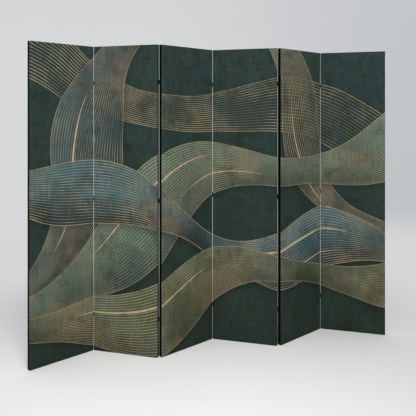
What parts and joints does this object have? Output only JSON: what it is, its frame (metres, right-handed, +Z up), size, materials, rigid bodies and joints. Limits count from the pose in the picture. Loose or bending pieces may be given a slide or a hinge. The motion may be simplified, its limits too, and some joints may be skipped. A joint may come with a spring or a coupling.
{
  "type": "folding room divider",
  "caption": "Free-standing folding screen of tall canvas-covered wooden frames, joined edge to edge by small butt hinges so that it stands in a zigzag or folds flat.",
  "frame": {"origin": "on the floor, at the centre of the box round the standing screen", "axes": "+Z up, +X along the standing screen from its left end to its right end as seen from the front, -Y towards the front"},
  "size_m": [2.0564, 0.2064, 1.7],
  "materials": {
    "painted_frame": "satin black paint",
    "printed_canvas": "matt printed cotton canvas",
    "hinge_metal": "semi-gloss black",
    "pin_metal": "semi-gloss black",
    "screw_metal": "black oxide"
  },
  "bodies": {
    "panel_1": {"panel_1_left_stile": "painted_frame", "panel_1_right_stile": "painted_frame", "panel_1_end_rails": "painted_frame", "panel_1_middle_rail": "painted_frame", "panel_1_front_canvas": "printed_canvas", "panel_1_back_canvas": "printed_canvas", "hinges_1_left_leaves": "hinge_metal", "hinges_1_pins": "pin_metal", "panel_1_hinge_screws": "screw_metal"},
    "panel_2": {"panel_2_left_stile": "painted_frame", "panel_2_right_stile": "painted_frame", "panel_2_end_rails": "painted_frame", "panel_2_middle_rail": "painted_frame", "panel_2_front_canvas": "printed_canvas", "panel_2_back_canvas": "printed_canvas", "hinges_1_right_leaves": "hinge_metal", "hinges_2_left_leaves": "hinge_metal", "hinges_2_pins": "pin_metal", "panel_2_hinge_screws": "screw_metal"},
    "panel_3": {"panel_3_left_stile": "painted_frame", "panel_3_right_stile": "painted_frame", "panel_3_end_rails": "painted_frame", "panel_3_middle_rail": "painted_frame", "panel_3_front_canvas": "printed_canvas", "panel_3_back_canvas": "printed_canvas", "hinges_2_right_leaves": "hinge_metal", "hinges_3_left_leaves": "hinge_metal", "hinges_3_pins": "pin_metal", "panel_3_hinge_screws": "screw_metal"},
    "panel_4": {"panel_4_left_stile": "painted_frame", "panel_4_right_stile": "painted_frame", "panel_4_end_rails": "painted_frame", "panel_4_middle_rail": "painted_frame", "panel_4_front_canvas": "printed_canvas", "panel_4_back_canvas": "printed_canvas", "hinges_3_right_leaves": "hinge_metal", "hinges_4_left_leaves": "hinge_metal", "hinges_4_pins": "pin_metal", "panel_4_hinge_screws": "screw_metal"},
    "panel_5": {"panel_5_left_stile": "painted_frame", "panel_5_right_stile": "painted_frame", "panel_5_end_rails": "painted_frame", "panel_5_middle_rail": "painted_frame", "panel_5_front_canvas": "printed_canvas", "panel_5_back_canvas": "printed_canvas", "hinges_4_right_leaves": "hinge_metal", "hinges_5_left_leaves": "hinge_metal", "hinges_5_pins": "pin_metal", "panel_5_hinge_screws": "screw_metal"},
    "panel_6": {"panel_6_left_stile": "painted_frame", "panel_6_right_stile": "painted_frame", "panel_6_end_rails": "painted_frame", "panel_6_middle_rail": "painted_frame", "panel_6_front_canvas": "printed_canvas", "panel_6_back_canvas": "printed_canvas", "hinges_5_right_leaves": "hinge_metal", "panel_6_hinge_screws": "screw_metal"}
  },
  "joints": [
    {"name": "fold_1", "type": "hinge", "parent": "panel_2", "child": "panel_1", "pos_m": [-0.68598, 0.085, 0.85], "axis": [0, 0, 1], "range_deg": [-59.2, 120.8]},
    {"name": "fold_2", "type": "hinge", "parent": "panel_3", "child": "panel_2", "pos_m": [-0.34299, -0.085, 0.85], "axis": [0, 0, -1], "range_deg": [-59.2, 120.8]},
    {"name": "fold_3", "type": "hinge", "parent": "panel_3", "child": "panel_4", "pos_m": [0, 0.085, 0.85], "axis": [0, 0, -1], "range_deg": [-59.2, 120.8]},
    {"name": "fold_4", "type": "hinge", "parent": "panel_4", "child": "panel_5", "pos_m": [0.34299, -0.085, 0.85], "axis": [0, 0, 1], "range_deg": [-59.2, 120.8]},
    {"name": "fold_5", "type": "hinge", "parent": "panel_5", "child": "panel_6", "pos_m": [0.68598, 0.085, 0.85], "axis": [0, 0, -1], "range_deg": [-59.2, 120.8]}
  ]
}
